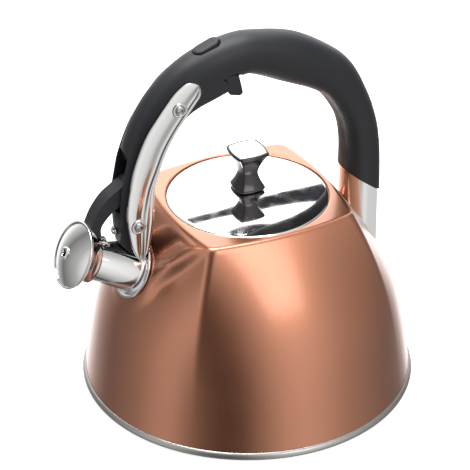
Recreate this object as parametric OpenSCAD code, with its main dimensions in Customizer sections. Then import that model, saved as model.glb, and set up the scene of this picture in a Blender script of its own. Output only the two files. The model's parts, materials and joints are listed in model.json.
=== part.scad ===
// Stovetop whistling kettle: bowed-square body, lift-off lid, tilted spout with a swinging whistle cap,
// and an arched handle that holds the thumb button, the trigger and the linkage that opens the cap.
// Millimetres, +Z up, origin at the centre of the face that rests on the hob, spout towards -X.

/* [Body] */
// Radius of the wall just above the base rim
base_radius = 108; // [100:1:112]
// Height of the flat top around the lid
top_height = 134; // [130:1:138]
// Distance from the axis to the middle of a side at the shoulder
shoulder_mid = 57; // [56:0.5:60]
// How much further a shoulder corner lies than the middle of a side, as a fraction
shoulder_corner = 0.25; // [0.15:0.01:0.28]
// Thickness of the body sheet
wall = 1; // [0.8:0.1:1.2]
// Radius of the rolled bead around the base
bead_radius = 2.9; // [2.5:0.1:3]

/* [Lid] */
// Outer radius of the lid
lid_radius = 52.5; // [51:0.1:52.6]
// Rise of the lid's dome above its rim
lid_rise = 6; // [3:0.5:9]
// Height of the knob above the lid
knob_height = 28; // [22:1:32]

/* [Spout] */
// Angle of the spout above the horizontal
spout_tilt = 26.5; // [24:0.5:29]
// Outer radius of the spout tube at its tip
spout_tip_radius = 13.3; // [12.5:0.1:13.5]
// Outer radius of the whistle cap's rim
cap_radius = 22; // [20:0.5:23]

/* [Handle] */
// Half width of the grip across the hand
grip_half_width = 13.5; // [12.5:0.5:14]
// Distance of each steel cheek's outer face from the middle plane
cheek_face = 14; // [13.9:0.1:15]
// Diameter of the pins in the mechanism
pin_d = 3; // [2.5:0.1:3.2]

/* [Hidden] */
$fn = 64;

// Colours
copper = [0.72, 0.44, 0.33];
steel = [0.82, 0.82, 0.83];
satin = [0.65, 0.65, 0.66];
black = [0.15, 0.15, 0.16];
gloss_black = [0.16, 0.13, 0.14];
alloy = [0.75, 0.76, 0.78];
spring_steel = [0.55, 0.56, 0.58];

gap = 0.1;          // face-to-face clearance between pieces that are fixed together
run = 0.05;         // radial clearance of a running fit on a pin

// ---------- Curves and lofts ----------
function bez(a, b, c, d, t) =
    a * pow(1 - t, 3) + 3 * b * t * pow(1 - t, 2) + 3 * c * t * t * (1 - t) + d * pow(t, 3);
function curve(p, n) = [for (i = [0:n]) bez(p[0], p[1], p[2], p[3], i / n)];
function smooth(low, high, x) = let (t = max(0, min(1, (x - low) / (high - low)))) t * t * (3 - 2 * t);
function reverse(v) = [for (i = [len(v) - 1:-1:0]) v[i]];

// A smooth line through the stations of a list, with steps points between neighbours
function through(s, steps) = let (n = len(s)) concat(
    [for (i = [0:n - 2]) for (j = [0:steps - 1])
        let (t = j / steps, a = s[max(i - 1, 0)], b = s[i], c = s[i + 1], d = s[min(i + 2, n - 1)])
            0.5 * (2 * b + (c - a) * t + (2 * a - 5 * b + 4 * c - d) * t * t
                + (3 * b - a - 3 * c + d) * t * t * t)],
    [s[n - 1]]);

// A solid through a list of rings that all have the same number of points.  A closed loft joins its last
// ring to its first, as a shell does; an open one has a flat face at each end.
module loft(rings, closed = false) {
    n = len(rings[0]);
    m = len(rings);
    last = closed ? m - 1 : m - 2;
    sides = [for (i = [0:last]) for (j = [0:n - 1])
        let (a = i * n, b = ((i + 1) % m) * n, k = (j + 1) % n)
            for (f = [[a + j, b + j, b + k], [a + j, b + k, a + k]]) f];
    ends = closed ? [] : [[for (j = [0:n - 1]) j], [for (j = [n - 1:-1:0]) (m - 1) * n + j]];
    polyhedron([for (r = rings) for (p = r) p], concat(sides, ends), convexity = 10);
}

// Distance from the axis to a square with bowed sides and round corners, at an angle around it
function bowed_radius(mid, corner, r, angle) = let (
        th = abs((angle + 45 + 360) % 90 - 45),
        s = (corner - r) / sqrt(2),
        w = mid - r,
        a = (2 * s * s - 2 * s * w + w * w) / (2 * (w - s)),
        cx = w - a,
        phi = asin(min(1, s / a)),
        join = atan2(s + r * sin(phi), s + r * cos(phi)))
    th < join ? cx * cos(th) + sqrt(pow(a + r, 2) - pow(cx * sin(th), 2))
              : s * (cos(th) + sin(th)) + sqrt(r * r - pow(s * (sin(th) - cos(th)), 2));

// Angles around the body: closer together at the corners
quarter = [0, 7, 14, 21, 27, 32, 36, 39.5, 42.5, 45, 47.5, 50.5, 54, 58, 63, 69, 76, 83];
around = [for (k = [0:3]) for (q = quarter) q + 90 * k];
function bowed_ring(mid, corner, r, z) =
    [for (a = around) let (d = bowed_radius(mid, corner, r, a)) [d * cos(a), d * sin(a), z]];

// A coil spring on the Z axis
module coil(radius, wire, turns, height) {
    steps = 16;
    loft([for (i = [0:turns * steps]) let (a = 360 * i / steps, z = height * i / (turns * steps))
        [for (b = [300:-60:0]) let (r = radius + wire * cos(b))
            [r * cos(a), r * sin(a), z + wire * sin(b)]]]);
}

// A flat piece standing in the XZ plane between two Y values
module slab(points, y0, y1) {
    translate([0, y1, 0])
        rotate([90, 0, 0])
            linear_extrude(y1 - y0)
                polygon(points);
}

// A cylinder across the handle at a point of the XZ plane
module cross(at, r, y0, y1) {
    translate([at[0], y1, at[1]])
        rotate([90, 0, 0])
            cylinder(h = y1 - y0, r = r);
}

// ---------- Body ----------
bead_z = bead_radius + 1;                 // the bead hangs 1 mm above the resting face
wall_foot = bead_z + bead_radius + 0.05;  // lower edge of the body sheet
fillet = 4;                               // rounding of the shoulder
lean = 37;                                // angle of the wall from the vertical at the shoulder
shoulder_z = top_height - fillet * (1 - sin(lean));
corner_r = 7;                             // rounding of a shoulder corner seen from above
mouth_r = 53;                             // radius of the recess that takes the lid

function wall_z(t) = bez(wall_foot, 58, 75, shoulder_z, t);
function wall_mid(t) = bez(base_radius, 100.5, 99, shoulder_mid, t);
function rise(z) = max(0, (z - wall_foot) / (shoulder_z - wall_foot));
function wall_ring(t, g) = let (z = wall_z(t), h = rise(z), m = wall_mid(t),
        c = m * (1.0008 + shoulder_corner * pow(h, 3)), r = min(corner_r + 45 * pow(1 - h, 2), m - 5))
    bowed_ring(m + g, c + g, r + g, z);
function shoulder_ring(a, g) = let (inset = fillet * (cos(lean) - cos(a)) - g * cos(a),
        m = shoulder_mid - inset, c = shoulder_mid * (1 + shoulder_corner) - inset)
    bowed_ring(m, c, corner_r - inset, shoulder_z + fillet * (sin(a) - sin(lean)) + g * sin(a));

// Spout seat: a flat patch in the wall under the collar, with a fairing that widens up to the shoulder
spout_x = -80.8;
spout_z = 100.4;
seat_radius = 21.5;
seat_fade = 9;
fairing_half = 43;       // half width of the fairing at the shoulder
function patch_x(z) = let (on_plane = spout_x + (z - spout_z) * tan(spout_tilt) + 0.12,
        knee = spout_z + 18 * cos(spout_tilt), knee_x = spout_x + 18 * sin(spout_tilt))
    z < knee ? on_plane
             : knee_x + (z - knee) / (shoulder_z - knee) * (-shoulder_mid - 0.8 - knee_x);
function patch_reach(y, z) = let (
        v = (z - spout_z) / cos(spout_tilt),
        top = (shoulder_z - spout_z) / cos(spout_tilt))
    v < 0 ? seat_radius - norm([y, v])
          : seat_radius + (fairing_half - seat_radius) * v / top - abs(y);
function faired(p, g) = p[0] > 0 || p[2] > shoulder_z + 0.01 ? p :
    let (m = smooth(-seat_fade, 2, patch_reach(p[1], p[2])) * smooth(0, 4, shoulder_z + 2 - p[2]))
        [min(p[0], p[0] * (1 - m) + (patch_x(p[2]) - g) * m), p[1], p[2]];
function faired_ring(ring, g) = [for (p = ring) faired(p, g)];

wall_steps = 15;
function skin(g) = concat(
    [for (i = [0:wall_steps]) faired_ring(wall_ring(i / wall_steps, g), g)],
    [for (a = [55, 72, 90]) shoulder_ring(a, g)]);
function circle_ring(r, z) = [for (a = around) [r * cos(a), r * sin(a), z]];

// The body as a full block, for trimming what is fixed to its outside
module body_block(g) {
    loft(skin(g));
}

seat_depth = 2.8;        // the lid's seat lies this far below the top
neck_r = 48;             // radius of the filling mouth
module body_shell() color(copper) {
    difference() {
        loft(concat(skin(0), [circle_ring(mouth_r + 1.1, top_height)],
            [circle_ring(mouth_r + 1.1, top_height - wall)], reverse(skin(-wall))), closed = true);
        on_spout() translate([0, 0, -20]) cylinder(h = 40, r = spout_hole_r);
    }
}
// The ring welded into the opening: the lid's seat and the filling neck below it
module neck_ring() color(copper) {
    rotate_extrude($fn = 96) polygon([
        [mouth_r + 0.9, top_height - 0.1], [mouth_r, top_height - 0.1], [mouth_r, top_height - seat_depth],
        [neck_r, top_height - seat_depth], [neck_r, top_height - 12], [neck_r + wall, top_height - 12],
        [neck_r + wall, top_height - seat_depth - wall], [mouth_r + 0.9, top_height - seat_depth - wall]]);
}

floor_z = 3.4;           // underside of the kettle's floor
floor_t = 0.8;
capsule_r = 88;          // radius of the induction capsule
module base_pan() color(satin) {
    rotate_extrude($fn = 128) {
        translate([base_radius + 2 - bead_radius, bead_z]) circle(bead_radius, $fn = 32);
        translate([0, floor_z]) square([base_radius - bead_radius, floor_t]);
    }
}
module heat_spreader() color(alloy) {
    translate([0, 0, floor_t + gap / 2])
        cylinder(h = floor_z - floor_t - gap, r = capsule_r - 1, $fn = 128);
}
module induction_cap() color(satin) {
    rotate_extrude($fn = 128) polygon([
        [0, 0], [capsule_r - 1, 0], [capsule_r, 1], [capsule_r, floor_z - gap / 2],
        [capsule_r - 0.9, floor_z - gap / 2], [capsule_r - 0.9, floor_t], [0, floor_t]]);
}

// ---------- Lid ----------
rim_z = top_height - seat_depth + gap / 2;           // lower edge of the lid's rim
lid_edge_z = top_height - 0.4;                       // where the dome starts
dome_r = (lid_radius * lid_radius + lid_rise * lid_rise) / (2 * lid_rise);
dome_z = lid_edge_z + lid_rise - dome_r;
lid_t = 0.8;
function dome(r, inner) = [r, dome_z + sqrt(pow(dome_r - inner, 2) - r * r)];
knob_base_z = lid_edge_z + lid_rise + gap / 2;
shank_r = 2;
hole_r = shank_r + 0.2;
module lid_shell() color(steel) {
    rotate_extrude($fn = 128) polygon(concat(
        [for (i = [0:12]) dome(hole_r + (lid_radius - 0.6 - hole_r) * i / 12, 0)],
        [[lid_radius, lid_edge_z - 0.5], [lid_radius, rim_z], [lid_radius - lid_t, rim_z]],
        [for (i = [12:-1:0]) dome(hole_r + (lid_radius - lid_t - 0.3 - hole_r) * i / 12, lid_t)]));
}
liner_z = rim_z + 0.1;
liner_r = neck_r - 0.5;
skirt_z = top_height - 14;
module lid_liner() color(satin) {
    rotate_extrude($fn = 128) polygon([[hole_r, liner_z], [lid_radius - 1.1, liner_z],
        [lid_radius - 1.1, liner_z + 0.7], [hole_r, liner_z + 0.7]]);
}
module lid_skirt() color(satin) {
    rotate_extrude($fn = 128) translate([liner_r - 0.8, skirt_z]) square([0.8, liner_z - gap / 2 - skirt_z]);
}

// The knob repeats the body's bowed square: a foot, a narrow neck and a wide top
knob_foot = 9.4;
knob_neck = 5.6;
knob_top = 12;
knob_bow = 1.2;          // corner distance over side distance
function knob_ring(m, z) = bowed_ring(m, m * knob_bow, m * 0.25, z);
function knob_mid(t) = t < 0.4 ? knob_neck + (knob_foot - knob_neck) * pow(1 - t / 0.4, 1.6)
                               : knob_neck + (knob_top - knob_neck) * pow((t - 0.4) / 0.6, 1.5);
disc_t = 0.8;
knob_top_z = knob_base_z + knob_height;
module lid_knob() color(gloss_black) {
    difference() {
        loft(concat([knob_ring(knob_foot - 0.8, knob_base_z + 0.6)],
            [for (i = [0:10]) knob_ring(knob_mid(i / 10), knob_base_z + 1.6 + (knob_height - 2.6) * i / 10)],
            [knob_ring(knob_top - 0.6, knob_top_z)]));
        loft([knob_ring(knob_top - 1.4, knob_top_z - disc_t), knob_ring(knob_top - 1.4, knob_top_z + 1)]);
        translate([0, 0, knob_base_z - 1]) cylinder(h = 17, r = shank_r + gap / 2);
    }
}
module knob_disc() color(steel) {
    loft([knob_ring(knob_top - 1.5, knob_top_z - disc_t + gap / 2), knob_ring(knob_top - 1.5, knob_top_z)]);
}
module knob_washer() color(steel) {
    difference() {
        translate([0, 0, knob_base_z]) cylinder(h = 0.5, r = 7.5);
        translate([0, 0, knob_base_z - 1]) cylinder(h = 3, r = hole_r);
    }
}
module knob_screw() color(spring_steel) {
    translate([0, 0, liner_z - 2.1]) cylinder(h = 2, r = 4);
    translate([0, 0, liner_z - 0.5]) cylinder(h = knob_base_z + 15 - liner_z, r = shank_r);
}

// ---------- Spout ----------
// Local frame of the spout: origin at the middle of the collar, +Z out along the spout
module on_spout() {
    translate([spout_x, 0, spout_z])
        rotate([0, spout_tilt - 90, 0])
            children();
}
// A point of the middle plane given by its distance along the spout and its height above the spout's axis
function spout_point(s, r) = [spout_x - s * cos(spout_tilt) + r * sin(spout_tilt),
    spout_z + s * sin(spout_tilt) + r * cos(spout_tilt)];

spout_root_r = 15.4;
spout_hole_r = 13.2;
flange_r = 18;
tube_length = 39;
flare = 3.4;             // radius of the flare between tube and flange
module spout_tube() color(steel) {
    on_spout() rotate_extrude($fn = 96) polygon(concat(
        [[spout_hole_r, gap / 2], [flange_r, gap / 2], [flange_r, 1.1]],
        [for (a = [75:-15:0]) [spout_root_r + flare * (1 - cos(a)), 1.1 + flare * (1 - sin(a))]],
        [[spout_tip_radius, tube_length - 0.5], [spout_tip_radius - 0.4, tube_length],
         [spout_tip_radius - 0.9, tube_length], [spout_hole_r, 6]]));
}
collar_bead = 1.15;
module spout_collar() color(steel) {
    on_spout() rotate_extrude($fn = 96)
        translate([flange_r + gap / 2 + collar_bead, collar_bead + gap]) circle(collar_bead, $fn = 24);
}

// Whistle: a sleeve over the spout's tip, a flared cap, a domed face and two discs with a small hole
sleeve_in = 14.5;
sleeve_t = 0.8;
sleeve_s = 34;           // distance of the sleeve's open end along the spout
rim_s = 46.4;            // distance of the cap's rim
module whistle_sleeve() color(steel) {
    on_spout() translate([0, 0, sleeve_s]) difference() {
        cylinder(h = 11, r = sleeve_in + sleeve_t, $fn = 96);
        translate([0, 0, -1]) cylinder(h = 13, r = sleeve_in, $fn = 96);
    }
}
flare_profile = curve([
    [sleeve_in + sleeve_t + 0.9, sleeve_s + 2.5], [sleeve_in + sleeve_t + 1.2, sleeve_s + 6],
    [cap_radius - 2.4, rim_s - 2.6], [cap_radius, rim_s - 1]], 8);
module whistle_cap() color(steel) {
    on_spout() rotate_extrude($fn = 96) polygon(concat(
        [[sleeve_in + sleeve_t + gap / 2, sleeve_s + 0.4], [sleeve_in + sleeve_t + 0.9, sleeve_s + 0.4]],
        flare_profile,
        [[cap_radius, rim_s + 0.4], [cap_radius - 0.5, rim_s + 0.9], [cap_radius - 1.3, rim_s + 0.6],
         [cap_radius - 1.3, rim_s - 0.4], [cap_radius - 4, rim_s - 2.6],
         [sleeve_in + sleeve_t + gap / 2, rim_s - 5.6]]));
}
face_rise = 6;
hub_r = 4.2;
function face_s(r) = rim_s + 0.3 + face_rise * (1 - pow(r / (cap_radius - 1.4), 1.7));
module whistle_face() color(steel) {
    on_spout() rotate_extrude($fn = 96) polygon(concat(
        [for (i = [0:10]) let (r = 3.3 + (cap_radius - 1.4 - 3.3) * i / 10) [r, face_s(r)]],
        [for (i = [10:-1:0]) let (r = 3.3 + (cap_radius - 1.4 - 3.3) * i / 10) [r, face_s(r) - 0.7]]));
}
hub_s = rim_s + 0.1 + face_rise;
module whistle_hub() color(steel) {
    on_spout() rotate_extrude($fn = 48) polygon([[1.7, hub_s - 7.3], [3.2, hub_s - 7.3], [3.2, hub_s + 0.1],
        [hub_r, hub_s + 0.1], [hub_r, hub_s + 0.6], [hub_r - 0.7, hub_s + 1.2], [1.7, hub_s + 0.7]]);
}
module whistle_disc(s) {
    on_spout() translate([0, 0, s]) difference() {
        cylinder(h = 0.6, r = sleeve_in - gap / 2, $fn = 96);
        translate([0, 0, -1]) cylinder(h = 3, r = 1.2);
    }
}
module whistle_rear_disc() color(satin) whistle_disc(sleeve_s + 6.6);
module whistle_front_disc() color(satin) whistle_disc(sleeve_s + 10.2);

// ---------- Whistle arm ----------
arm_pivot = [-83, 163];
arm_half = 5.6;          // half width of the arm
hub_outer = 6;
horn = 10;               // distance from the pivot to the tip that the link pushes
horn_rest = 5;           // angle of the horn above the horizontal at rest
function polar(c, r, a) = [c[0] + r * cos(a), c[1] + r * sin(a)];
clip_r = sleeve_in + sleeve_t + 1;
module cap_clip() color(steel) {
    on_spout() difference() {
        rotate([0, 0, -22.5]) translate([0, 0, sleeve_s - 1.6])
            rotate_extrude(angle = 45, $fn = 96) translate([clip_r, 0]) square([1.2, 4.6]);
        translate([clip_r - 5, 0, sleeve_s + 0.8]) rotate([0, 90, 0]) cylinder(h = 10, r = 1.1);
    }
}
arm_outline = concat(
    [spout_point(sleeve_s - 1.4, clip_r + 1.35), spout_point(sleeve_s + 3.4, clip_r + 1.35),
     spout_point(sleeve_s + 6.8, clip_r + 2.2), spout_point(rim_s - 1.2, cap_radius - 0.3)],
    curve([[-111.6, 141.5], [-107, 151.5], [-99, 161.5], [-87, 165.6]], 8),
    [for (a = [120:-20:40]) polar(arm_pivot, hub_outer, a)],
    [[-75.6, 165.2], [-71.4, 163.9], [-72.2, 161.2]],
    [for (a = [-30:-20:-110]) polar(arm_pivot, hub_outer, a)],
    curve([[-91, 152], [-99, 147.5], [-104.5, 142], [-106.3, 136]], 6));
module whistle_arm() color(black) {
    difference() {
        slab(arm_outline, -arm_half, arm_half);
        cross(arm_pivot, pin_d / 2 + run, -10, 10);
        cross(arm_pivot, 4.3, arm_half - 3, arm_half + 1);
        slab([for (a = [80:-20:-60]) polar(arm_pivot, hub_outer + 6, a)], arm_half - 3.2, 10);
        slab([for (a = [80:-20:-60]) polar(arm_pivot, hub_outer + 6, a)], -10, -arm_half + 3.2);
        on_spout() translate([clip_r - 4, 0, sleeve_s + 0.8]) rotate([0, 90, 0]) cylinder(h = 10, r = 1.1);
    }
}
module arm_pin() color(spring_steel) cross(arm_pivot, pin_d / 2, -10.6, 10.6);
module arm_spring() color(spring_steel) {
    translate([arm_pivot[0], arm_half - 2.5, arm_pivot[1]]) rotate([-90, 0, 0]) coil(3.4, 0.4, 3, 2.6);
}

// ---------- Handle ----------
// Stations along the middle of the handle, from the spout to the rear:
// x, z, half depth in the middle plane, half width
stations = [
    [-79, 96, 9, 9.5], [-80.5, 118, 10.6, 10.6], [-81.8, 137, 11.8, 11.2], [-81.8, 151, 11.8, 11.3],
    [-79.8, 166, 11.7, 11.4], [-75.2, 184, 12.2, 11.6], [-68, 201, 12.8, 11.8], [-57.5, 215.5, 13.3, 12],
    [-43.5, 227.5, 13.5, 12.3], [-27, 235, 13.5, 13.2], [-10, 238.3, 13.5, grip_half_width],
    [3, 237.6, 13.7, grip_half_width], [27, 229.2, 16.2, grip_half_width + 1],
    [50, 216.5, 15, grip_half_width + 0.7], [62, 205.8, 14, grip_half_width],
    [72.5, 187.3, 12.6, grip_half_width - 0.7], [77.5, 173.5, 12.4, grip_half_width - 0.8],
    [80, 160, 12.8, grip_half_width - 0.5], [81, 146, 13.2, grip_half_width - 0.2],
    [81.1, 126, 13.5, grip_half_width], [81.1, 106, 13.5, grip_half_width]];
spine = through(stations, 3);
grip_sides = 28;
round_power = 2.3;       // 2 gives an ellipse, more gives a squarer section
function lobed(c) = sign(c) * pow(abs(c), 2 / round_power);
function grip_ring(i) = let (
        a = spine[max(i - 1, 0)], b = spine[min(i + 1, len(spine) - 1)], s = spine[i],
        d = norm([b[0] - a[0], b[1] - a[1]]), nx = -(b[1] - a[1]) / d, nz = (b[0] - a[0]) / d)
    [for (j = [0:grip_sides - 1])
        let (u = -360 * j / grip_sides, p = s[2] * lobed(cos(u)), q = s[3] * lobed(sin(u)))
        [s[0] + nx * p, q, s[1] + nz * p]];

rear_cut = [66, 139.4];  // where the grip's lower end meets its inner side
rear_slope = 38;
leg_back_s = 0.6;        // the leg's foot stands this far off the collar's plane

// The linkage: lever pivot, link pivot and the tip that pushes the horn
lever_pivot = [-25, 221.5];
trigger_arc = 7.4;       // the trigger's front edge is an arc about its pivot
link_top = [-53.6, 226];
link_tip = polar(arm_pivot, horn, horn_rest + 4);
link_angle = atan2(link_tip[1] - link_top[1], link_tip[0] - link_top[0]);
link_length = norm(link_top - link_tip) - 3;
link_half = 1.2;
function beside_link(d, off) = [link_top[0] + d * cos(link_angle) - off * sin(link_angle),
    link_top[1] + d * sin(link_angle) + off * cos(link_angle)];

// The hollow that holds the lever, the link and the foot of the button
lever_hollow = [[-5.5, 220], [-6.5, 236.5], [-22, 236.5], [-27, 232], [-41, 231.5], [-55, 231], [-58, 227],
    beside_link(6, -3.4), beside_link(60, -3.4), beside_link(66, 4.6), beside_link(30, 4.6), [-52.5, 211],
    [-45, 211], [-36, 212], [-22, 212]];
// The slot in the front of the leg that the arm swings in, and the narrow pocket for the arm's horn
arm_slot = [[-104, 147], [-104, 190], [-86.6, 190], [-83, 178], [-76, 172], [-72.6, 170], [-72.6, 156],
    [-76, 149], [-84, 147]];
horn_pocket = [[-74, 172], [-70.3, 168], [-69.9, 158], [-74, 150]];
// The cover's seam in the grip, and the pocket above the trigger
seam = [[-12.5, 231.4], [-21, 230.6], [-28, 228.2], [-37, 222.6], [-46, 213.2], [-57, 196], [-50, 186],
    [-12.5, 206]];
trigger_pocket = [[-24, 206], [-24, 233.8], [-7, 233.8], [-6.8, 206]];
slot_half = arm_half + 0.7;
lever_half = 4.2;
trigger_half = 9.4;

button_at = [-29, 248.6];
button_turn = 21;        // slope of the handle under the button
button_long = 18;
button_wide = 9.6;
button_drop = 2.4;
module on_button() {
    translate([button_at[0], 0, button_at[1]])
        rotate([0, -button_turn, 0])
            children();
}
module pad(grow, z0, z1) {
    r = button_wide / 2 + grow;
    x = button_long / 2 - button_wide / 2;
    translate([0, 0, z0]) linear_extrude(z1 - z0) {
        translate([-x, 0]) circle(r);
        translate([x, 0]) circle(r);
        square([2 * x, 2 * r], center = true);
    }
}
stem_at = -34;
stem_r = 2;
stem_foot = 227.9;
boss_r = 3.9;            // the stem's head, which presses the return spring
boss_z = 240.2;
spring_floor = 234.2;

tang_half = 8;
module handle_grip() color(black) {
    difference() {
        loft([for (i = [0:len(spine) - 1]) grip_ring(i)]);
        translate([rear_cut[0], 0, rear_cut[1]]) rotate([0, rear_slope, 0])
            translate([-20, -30, -80]) cube([100, 60, 80]);
        on_spout() translate([0, 0, -60 + leg_back_s]) cylinder(h = 60, r = 70);
        on_spout() cylinder(h = 60, r = spout_root_r + 0.3);
        on_spout() cylinder(h = 6.5, r = flange_r + 3);
        slab(seam, -20, 20);
        slab(lever_hollow, -lever_half - 0.8, lever_half + 0.8);
        slab(arm_slot, -slot_half, slot_half);
        slab(horn_pocket, -3, 3);
        slab(trigger_pocket, -trigger_half - 0.6, trigger_half + 0.6);
        cross(arm_pivot, pin_d / 2 + gap / 2, -10.7, 10.7);
        for (i = [0:4]) translate([0, 0, -(button_drop + 0.2) * i / 4]) on_button() pad(0.4, -2.6, 8);
        translate([stem_at, 0, 228]) cylinder(h = 20, r = stem_r + 0.35);
        translate([stem_at, 0, spring_floor]) cylinder(h = 10, r = boss_r + 0.4);
        for (p = cheek_screw_at) cross(p, 1.5 + gap / 2, -14, 14);
        translate([-95, 0, leg_screw_z]) rotate([0, 90, 0]) cylinder(h = 12, r = 1.5 + gap / 2);
        translate([tang_x - 1.7, -tang_half - 0.2, 100]) cube([3.4, 2 * tang_half + 0.4, 72.2]);
        for (z = grip_screw_z) translate([tang_x - 4, 0, z]) rotate([0, 90, 0]) {
            cylinder(h = 30, r = 1.5 + gap / 2);
            translate([0, 0, 11]) cylinder(h = 20, r = 3.2);
        }
        cross(lever_pivot, pin_d / 2 + gap / 2, -9.1, 9.1);
        translate([cover_screw_at[0], 0, 200]) cylinder(h = 40, r = 1.25 + gap / 2);
    }
}

cover_outline = concat([for (a = [64:-15:-26]) polar(lever_pivot, trigger_arc - 0.4, a)],
    [[-18.6, 216.8], [-27, 213.6], [-34, 211.8], [-39, 209.4], [-45, 205.6], [-52, 198.6], [-55.5, 195.6],
     [-46, 212.1], [-37.4, 222], [-28.3, 227.7]]);
cover_half = 10.6;
cover_screw_at = [-43.5, 213];
module mechanism_cover() color(black) {
    difference() {
        slab(cover_outline, -cover_half, cover_half);
        slab(lever_hollow_in_cover, -lever_half - 0.8, lever_half + 0.8);
        cross(lever_pivot, pin_d / 2 + gap / 2, -9.1, 9.1);
        translate([cover_screw_at[0], 0, 190]) cylinder(h = 40, r = 1.25 + gap / 2);
        translate([cover_screw_at[0], 0, 190]) cylinder(h = cover_screw_at[1] - 193, r = 2.4 + gap / 2);
    }
}
lever_hollow_in_cover = [[-10, 214], [-10, 236], [-60, 236], [-60, 216], [-50, 207.5], [-45, 209.5],
    [-39, 212.4], [-34, 214.4], [-27, 216], [-21, 217.6], [-18, 218]];
module cover_screw() color(spring_steel) {
    translate([cover_screw_at[0], 0, cover_screw_at[1]]) {
        translate([0, 0, -4.4]) cylinder(h = 1.4, r = 2.4);
        translate([0, 0, -3.1]) cylinder(h = 6, r = 1.25);
    }
}

// Trigger: the block under the grip and a lever that reaches forward to the link
module trigger() color(black) {
    difference() {
        union() {
            slab(concat([for (a = [-24:15:51]) polar(lever_pivot, trigger_arc, a)],
                [[-19.6, 229.2], [-11.2, 229.4], [-8.2, 215.8], [-10, 214.2], [-17.2, 216.2]]),
                -trigger_half, trigger_half);
            slab([[-28, 219], [-20, 219.4], [-14, 221], [-13, 228], [-22, 226], [-27, 225.2]],
                -lever_half, lever_half);
            slab([[-25, 218], [-50, 222.4], [-53.6, 222.8], [-53.6, 229.2], [-38, 228.2], [-25, 225.4]],
                -lever_half, lever_half);
            cross(lever_pivot, 4, -lever_half, lever_half);
            cross(link_top, 3.2, -lever_half, lever_half);
        }
        cross(lever_pivot, pin_d / 2 + run, -10, 10);
        cross(link_top, 1 + run, -10, 10);
        cross(link_top, 4.2, -1.7, 1.7);
        slab([[-50, 216], [-60, 216], [-60, 232], [-50, 232]], -1.7, 1.7);
    }
}
module trigger_pin() color(spring_steel) cross(lever_pivot, pin_d / 2, -9, 9);
module link_pin() color(spring_steel) cross(link_top, 1, -lever_half + 0.1, lever_half - 0.1);
module push_link() color(spring_steel) {
    difference() {
        union() {
            slab([beside_link(0, link_half), beside_link(link_length, link_half),
                beside_link(link_length, -link_half), beside_link(0, -link_half)], -1.5, 1.5);
            cross(link_top, 2.6, -1.5, 1.5);
            cross(beside_link(link_length, 0), link_half + 0.6, -1.5, 1.5);
        }
        cross(link_top, 1 + run, -5, 5);
    }
}
module thumb_button() color(black) {
    on_button() pad(0, -2.2, 1.2);
    translate([stem_at, 0, stem_foot]) cylinder(h = boss_z + 1 - stem_foot, r = stem_r);
    translate([stem_at, 0, boss_z]) cylinder(h = 4.4, r = boss_r);
}
module button_spring() color(spring_steel) {
    translate([stem_at, 0, spring_floor + 0.4]) coil(3.2, 0.35, 4, boss_z - spring_floor - 0.8);
}

// Steel cheeks: a face, a crease and a chamfered edge that wraps the inner side of the leg
cheek_outer = through([spout_point(7, 10.6), [-87.4, 124], [-90.2, 143.5], [-89.8, 155], [-87.6, 168],
    [-84.6, 181], [-77.4, 199], [-68.6, 212.5], [-58, 225.6], [-51, 231.4]], 2);
cheek_crease = through([spout_point(5, 10.2), [-80.6, 122], [-80, 143], [-78.6, 151.5], [-75.6, 164],
    [-70.4, 177], [-65.2, 189.6], [-58.4, 201], [-49, 212.4], [-41.4, 223]], 2);
cheek_inner = through([spout_point(4.2, 12.6), [-75, 121], [-71.6, 138], [-71.2, 151], [-70.4, 163],
    [-67, 175], [-62.2, 187], [-56, 198.6], [-47, 210.4], [-39, 222.4]], 2);
cheek_t = 1.2;
cheek_screw_at = [[-53.5, 215.7], [-82.8, 138.8]];
cheek_last = len(cheek_outer) - 1;
// A strip of the cheek between two lines, which run from its outer edge (0) over the crease (1) to its inner
// edge (2)
function cheek_line(u, n) = [for (i = [0:n])
    u < 1 ? cheek_outer[i] * (1 - u) + cheek_crease[i] * u
          : cheek_crease[i] * (2 - u) + cheek_inner[i] * (u - 1)];
module cheek_strip(u0, u1, n, y0, y1) {
    slab(concat(cheek_line(u0, n), reverse(cheek_line(u1, n))), y0, y1);
}
module cheek() {
    difference() {
        union() {
            cheek_strip(0, 1.1, cheek_last, -cheek_face, -cheek_face + cheek_t);
            cheek_strip(0.95, 1.6, cheek_last, -cheek_face + 0.5, -cheek_face + cheek_t + 0.6);
            cheek_strip(1.5, 2, cheek_last - 5, -cheek_face + 1.2, -cheek_face + 3.4);
            cross([-47.2, 225.2], 6.2, -cheek_face + 0.1, -cheek_face + cheek_t + 0.1);
            for (p = cheek_screw_at) cross(p, 4.8, -cheek_face - 0.5, -cheek_face + 0.9);
        }
        for (p = cheek_screw_at) cross(p, 1.7, -20, 0);
    }
}
module cheek_near() color(steel) cheek();
module cheek_far() color(steel) mirror([0, 1, 0]) cheek();
module cheek_screws() color(steel) {
    for (side = [0, 1]) mirror([0, side, 0]) for (p = cheek_screw_at) {
        cross(p, 3.4, -cheek_face - 1.9, -cheek_face - 0.55);
        cross(p, 1.5, -cheek_face - 0.6, -6.9);
    }
}
leg_screw_z = 131.4;
module leg_screw() color(steel) {
    translate([-95.6, 0, leg_screw_z]) rotate([0, 90, 0]) {
        cylinder(h = 1.8, r = 3.4);
        cylinder(h = 12, r = 1.5);
    }
}

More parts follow.
